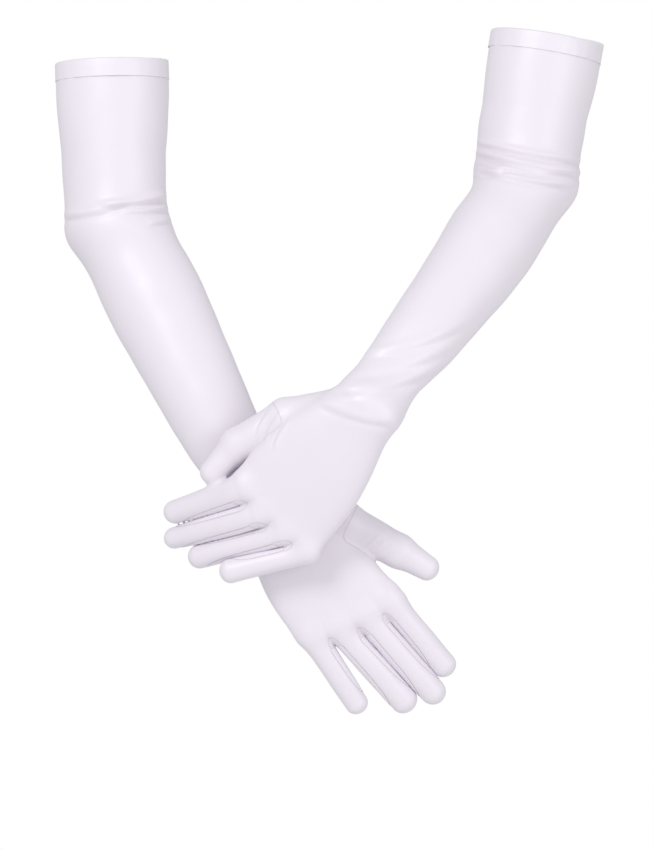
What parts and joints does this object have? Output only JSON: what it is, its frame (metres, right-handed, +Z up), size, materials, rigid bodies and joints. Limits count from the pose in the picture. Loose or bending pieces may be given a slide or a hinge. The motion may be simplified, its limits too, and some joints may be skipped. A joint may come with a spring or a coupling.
{
  "type": "opera gloves",
  "caption": "Pair of long stretch-satin opera gloves in their worn shape, one hand laid across the other wrist, hollow to take the arms.",
  "frame": {"origin": "centre of the right glove's top rim, where the right arm goes in", "axes": "+Z up, +X from the right glove to the left one, -Y the side that the backs of the hands face"},
  "size_m": [0.3965, 0.1641, 0.4876],
  "materials": {
    "satin_shell": "near-white satin with a soft sheen and a faint lavender tint",
    "satin_fourchette": "near-white satin with a soft sheen and a faint lavender tint, a little lighter than the shell",
    "hem_satin": "near-white satin with a soft sheen and a faint lavender tint, turned double and stitched",
    "elastic_tape": "matt white woven elastic"
  },
  "bodies": {
    "right_upper_arm": {"right_cuff_hem": "hem_satin", "right_cuff_elastic": "elastic_tape", "right_upper_sleeve": "satin_shell"},
    "right_forearm": {"right_forearm_sleeve": "satin_shell"},
    "right_hand": {"right_hand": "satin_shell"},
    "right_index_tip": {"right_index_tip": "satin_shell", "right_index_ulnar_fourchette_tip": "satin_fourchette"},
    "right_index_base": {"right_index_base": "satin_shell", "right_index_ulnar_fourchette_base": "satin_fourchette"},
    "right_middle_tip": {"right_middle_tip": "satin_shell", "right_middle_radial_fourchette_tip": "satin_fourchette", "right_middle_ulnar_fourchette_tip": "satin_fourchette"},
    "right_middle_base": {"right_middle_base": "satin_shell", "right_middle_radial_fourchette_base": "satin_fourchette", "right_middle_ulnar_fourchette_base": "satin_fourchette"},
    "right_ring_tip": {"right_ring_tip": "satin_shell", "right_ring_radial_fourchette_tip": "satin_fourchette", "right_ring_ulnar_fourchette_tip": "satin_fourchette"},
    "right_ring_base": {"right_ring_base": "satin_shell", "right_ring_radial_fourchette_base": "satin_fourchette", "right_ring_ulnar_fourchette_base": "satin_fourchette"},
    "right_little_tip": {"right_little_tip": "satin_shell", "right_little_radial_fourchette_tip": "satin_fourchette"},
    "right_little_base": {"right_little_base": "satin_shell", "right_little_radial_fourchette_base": "satin_fourchette"},
    "right_thumb_tip": {"right_thumb_tip": "satin_shell"},
    "right_thumb_base": {"right_thumb_base": "satin_shell"},
    "left_upper_arm": {"left_cuff_hem": "hem_satin", "left_cuff_elastic": "elastic_tape", "left_upper_sleeve": "satin_shell"},
    "left_forearm": {"left_forearm_sleeve": "satin_shell"},
    "left_hand": {"left_hand": "satin_shell"},
    "left_index_tip": {"left_index_tip": "satin_shell", "left_index_ulnar_fourchette_tip": "satin_fourchette"},
    "left_index_base": {"left_index_base": "satin_shell", "left_index_ulnar_fourchette_base": "satin_fourchette"},
    "left_middle_tip": {"left_middle_tip": "satin_shell", "left_middle_radial_fourchette_tip": "satin_fourchette", "left_middle_ulnar_fourchette_tip": "satin_fourchette"},
    "left_middle_base": {"left_middle_base": "satin_shell", "left_middle_radial_fourchette_base": "satin_fourchette", "left_middle_ulnar_fourchette_base": "satin_fourchette"},
    "left_ring_tip": {"left_ring_tip": "satin_shell", "left_ring_radial_fourchette_tip": "satin_fourchette", "left_ring_ulnar_fourchette_tip": "satin_fourchette"},
    "left_ring_base": {"left_ring_base": "satin_shell", "left_ring_radial_fourchette_base": "satin_fourchette", "left_ring_ulnar_fourchette_base": "satin_fourchette"},
    "left_little_tip": {"left_little_tip": "satin_shell", "left_little_radial_fourchette_tip": "satin_fourchette"},
    "left_little_base": {"left_little_base": "satin_shell", "left_little_radial_fourchette_base": "satin_fourchette"},
    "left_thumb_tip": {"left_thumb_tip": "satin_shell"},
    "left_thumb_base": {"left_thumb_base": "satin_shell"}
  },
  "joints": [
    {"name": "left_glove_lift", "type": "slide", "parent": "right_upper_arm", "child": "left_upper_arm", "axis": [0, -1, 0], "range_m": [0, 0.3]},
    {"name": "right_elbow", "type": "hinge", "parent": "right_upper_arm", "child": "right_forearm", "pos_m": [0.002, 0, -0.117], "axis": [-0.4356, -0.9001, -0.0074], "range_deg": [-30, 0]},
    {"name": "right_wrist", "type": "hinge", "parent": "right_forearm", "child": "right_hand", "pos_m": [0.113, -0.052, -0.324], "axis": [0.8319, 0, 0.5549], "range_deg": [0, 60]},
    {"name": "right_index_root", "type": "hinge", "parent": "right_hand", "child": "right_index_base", "pos_m": [0.2034, -0.05, -0.3912], "axis": [0.7633, 0, 0.646], "range_deg": [-15, 75]},
    {"name": "right_index_knuckle", "type": "hinge", "parent": "right_index_base", "child": "right_index_tip", "pos_m": [0.22217, -0.04424, -0.41338], "axis": [0.7633, 0, 0.646], "range_deg": [0, 85]},
    {"name": "right_middle_root", "type": "hinge", "parent": "right_hand", "child": "right_middle_base", "pos_m": [0.1889, -0.05, -0.4029], "axis": [0.7605, 0, 0.6493], "range_deg": [-15, 75]},
    {"name": "right_middle_knuckle", "type": "hinge", "parent": "right_middle_base", "child": "right_middle_tip", "pos_m": [0.21103, -0.04472, -0.42882], "axis": [0.7605, 0, 0.6493], "range_deg": [0, 85]},
    {"name": "right_ring_root", "type": "hinge", "parent": "right_hand", "child": "right_ring_base", "pos_m": [0.1683, -0.05, -0.4111], "axis": [0.7406, 0, 0.672], "range_deg": [-15, 75]},
    {"name": "right_ring_knuckle", "type": "hinge", "parent": "right_ring_base", "child": "right_ring_tip", "pos_m": [0.19086, -0.0452, -0.43596], "axis": [0.7406, 0, 0.672], "range_deg": [0, 85]},
    {"name": "right_little_root", "type": "hinge", "parent": "right_hand", "child": "right_little_base", "pos_m": [0.148, -0.05, -0.4175], "axis": [0.8392, 0, 0.5438], "range_deg": [-15, 75]},
    {"name": "right_little_knuckle", "type": "hinge", "parent": "right_little_base", "child": "right_little_tip", "pos_m": [0.16231, -0.04586, -0.43958], "axis": [0.8392, 0, 0.5438], "range_deg": [0, 85]},
    {"name": "right_thumb_root", "type": "hinge", "parent": "right_hand", "child": "right_thumb_base", "pos_m": [0.166, -0.048, -0.3295], "axis": [0.4445, 0.3051, 0.8422], "range_deg": [-15, 30]},
    {"name": "right_thumb_knuckle", "type": "hinge", "parent": "right_thumb_base", "child": "right_thumb_tip", "pos_m": [0.2048, -0.044, -0.3502], "axis": [0.3767, 0.6039, 0.7024], "range_deg": [-10, 30]},
    {"name": "left_elbow", "type": "hinge", "parent": "left_upper_arm", "child": "left_forearm", "pos_m": [0.2965, 0, -0.08], "axis": [-0.7826, 0.6064, 0.1406], "range_deg": [0, 65]},
    {"name": "left_wrist", "type": "hinge", "parent": "left_forearm", "child": "left_hand", "pos_m": [0.181, -0.11, -0.2485], "axis": [0.7834, 0, -0.6215], "range_deg": [-50, 0]},
    {"name": "left_index_root", "type": "hinge", "parent": "left_hand", "child": "left_index_base", "pos_m": [0.0912, -0.0835, -0.3067], "axis": [0.3413, 0, -0.94], "range_deg": [-20, 0]},
    {"name": "left_index_knuckle", "type": "hinge", "parent": "left_index_base", "child": "left_index_tip", "pos_m": [0.06701, -0.0679, -0.31548], "axis": [0.3413, 0, -0.94], "range_deg": [-25, 0]},
    {"name": "left_middle_root", "type": "hinge", "parent": "left_hand", "child": "left_middle_base", "pos_m": [0.1012, -0.0835, -0.3252], "axis": [0.2791, 0, -0.9603], "range_deg": [-20, 0]},
    {"name": "left_middle_knuckle", "type": "hinge", "parent": "left_middle_base", "child": "left_middle_tip", "pos_m": [0.07197, -0.06646, -0.3337], "axis": [0.2791, 0, -0.9603], "range_deg": [-25, 0]},
    {"name": "left_ring_root", "type": "hinge", "parent": "left_hand", "child": "left_ring_base", "pos_m": [0.1178, -0.0835, -0.338], "axis": [0.2582, 0, -0.9661], "range_deg": [-20, 0]},
    {"name": "left_ring_knuckle", "type": "hinge", "parent": "left_ring_base", "child": "left_ring_tip", "pos_m": [0.08852, -0.06982, -0.34582], "axis": [0.2582, 0, -0.9661], "range_deg": [-25, 0]},
    {"name": "left_little_root", "type": "hinge", "parent": "left_hand", "child": "left_little_base", "pos_m": [0.1353, -0.0835, -0.3507], "axis": [0.2594, 0, -0.9658], "range_deg": [-20, 0]},
    {"name": "left_little_knuckle", "type": "hinge", "parent": "left_little_base", "child": "left_little_tip", "pos_m": [0.10926, -0.07959, -0.35769], "axis": [0.2594, 0, -0.9658], "range_deg": [-25, 0]},
    {"name": "left_thumb_root", "type": "hinge", "parent": "left_hand", "child": "left_thumb_base", "pos_m": [0.126, -0.086, -0.257], "axis": [0.5898, -0.0302, -0.807], "range_deg": [-20, 0]},
    {"name": "left_thumb_knuckle", "type": "hinge", "parent": "left_thumb_base", "child": "left_thumb_tip", "pos_m": [0.0915, -0.0755, -0.2755], "axis": [0.7197, 0.0319, -0.6936], "range_deg": [-10, 0]}
  ]
}
